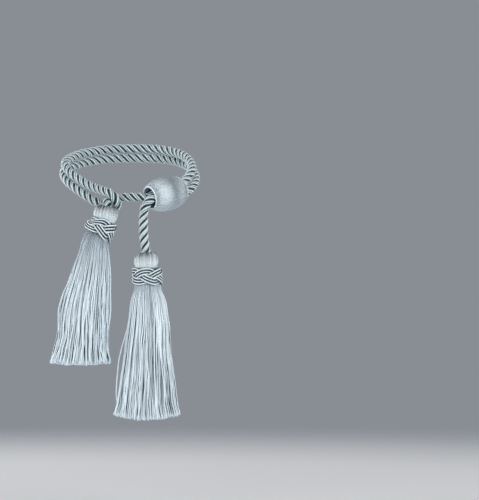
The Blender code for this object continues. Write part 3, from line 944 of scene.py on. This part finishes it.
def collar_cord():
    """Pale cords with painted near-black shade in their crevices, for the collars' braids."""
    return yarn(
        "collar_cord", dark=(0.02, 0.036, 0.044), middle=(0.28, 0.37, 0.405), light=(0.79, 0.90, 0.94),
        roughness=0.40, filaments=4, slant=700.0, bump=0.4, specular=0.5,
    )


def skirt_yarn():
    """The skirts' strands, each with a brightness of its own."""
    return yarn(
        "skirt_yarn", dark=(0.06, 0.077, 0.093), middle=(0.40, 0.48, 0.54), light=(0.63, 0.72, 0.77),
        roughness=0.45, filaments=3, slant=420.0, bump=0.4,
        streak=10.0, mottle=0.6, own=0.8, specular=1.0,
    )


# Stage ------------------------------------------------------------------------------------------------------


def make_camera():
    """The photograph's frame, with the object at its own pixels there."""
    camera = bpy.data.objects.new("camera", bpy.data.cameras.new("camera"))
    bpy.context.scene.collection.objects.link(camera)
    across = (PHOTO_SIZE[0] / 2.0 - ORIGIN_PIXEL[0]) * PIXEL
    height = (ORIGIN_PIXEL[1] - PHOTO_SIZE[1] / 2.0) * PIXEL
    camera.location = (across, FRONT_DEPTH - CAMERA_DISTANCE, height)
    camera.rotation_euler = (pi / 2.0, 0.0, 0.0)
    camera.data.sensor_width = SENSOR
    camera.data.lens = SENSOR * CAMERA_DISTANCE / (max(PHOTO_SIZE) * PIXEL)
    camera.data.clip_end = CAMERA_REACH
    bpy.context.scene.camera = camera


def add_light(name, azimuth, elevation, distance, size, watts):
    """A soft light, as wide and high as its size, that faces the object. Azimuth 0 is straight in front."""
    turn, rise = radians(azimuth), radians(elevation)
    away = Vector((sin(turn) * cos(rise), -cos(turn) * cos(rise), sin(rise)))
    data = bpy.data.lights.new(name, "AREA")
    data.shape = "RECTANGLE"
    data.size, data.size_y = size
    data.energy = watts
    lamp = bpy.data.objects.new(name, data)
    lamp.location = LIGHT_AIM + away * distance
    lamp.rotation_euler = away.to_track_quat("Z", "Y").to_euler()
    lamp.visible_camera = False
    bpy.context.scene.collection.objects.link(lamp)


def make_floor():
    """A plain pale floor well below the hanging object, which fades out at its edge."""
    bpy.ops.mesh.primitive_circle_add(
        vertices=FLOOR_SIDES, radius=FLOOR_FADE[1], fill_type="NGON", location=(0.0, 0.0, FLOOR_HEIGHT)
    )
    floor = bpy.context.object
    floor.name = "floor"
    paint = Shading("floor_paint")
    away = paint.add("ShaderNodeVectorMath", operation="LENGTH")
    paint.link(paint.add("ShaderNodeTexCoord").outputs["Object"], away.inputs[0])
    fade = paint.add("ShaderNodeMapRange", interpolation_type="SMOOTHSTEP")
    paint.link(away.outputs["Value"], fade.inputs["Value"])
    fade.inputs["From Min"].default_value = FLOOR_FADE[0]
    fade.inputs["From Max"].default_value = FLOOR_FADE[1]
    fade.inputs["To Min"].default_value = 1.0
    fade.inputs["To Max"].default_value = 0.0
    paint.link(fade.outputs["Result"], paint.shader.inputs["Alpha"])
    paint.shader.inputs["Base Color"].default_value = (*FLOOR_COLOUR, 1.0)
    paint.shader.inputs["Roughness"].default_value = FLOOR_ROUGHNESS
    floor.data.materials.append(paint.material)


def make_surroundings():
    """Soft light from all round, and a plain grey backdrop where the camera sees past the floor."""
    world = bpy.data.worlds.new("studio")
    world.use_nodes = True
    nodes, links = world.node_tree.nodes, world.node_tree.links
    fill = nodes["Background"]
    fill.inputs["Color"].default_value = (*FILL_COLOUR, 1.0)
    fill.inputs["Strength"].default_value = FILL_LIGHT
    seen = nodes.new("ShaderNodeBackground")
    seen.inputs["Color"].default_value = (*BACKDROP_COLOUR, 1.0)
    either = nodes.new("ShaderNodeMixShader")
    links.new(nodes.new("ShaderNodeLightPath").outputs["Is Camera Ray"], either.inputs["Fac"])
    links.new(fill.outputs[0], either.inputs[1])
    links.new(seen.outputs[0], either.inputs[2])
    links.new(either.outputs[0], nodes["World Output"].inputs["Surface"])
    bpy.context.scene.world = world
    bpy.context.scene.view_settings.view_transform = "Standard"


def main():
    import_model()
    make_camera()
    make_rope(rope_yarn())
    make_bead(bead_thread())
    make_mouth_cords(rim_cord())
    winding, braid, strands = head_thread(), collar_cord(), skirt_yarn()
    for tassel in TASSELS:
        make_head(tassel, winding)
        make_collar(tassel, braid)
        make_skirt(tassel, strands)
    make_floor()
    for light in LIGHTS:
        add_light(*light)
    make_surroundings()


main()
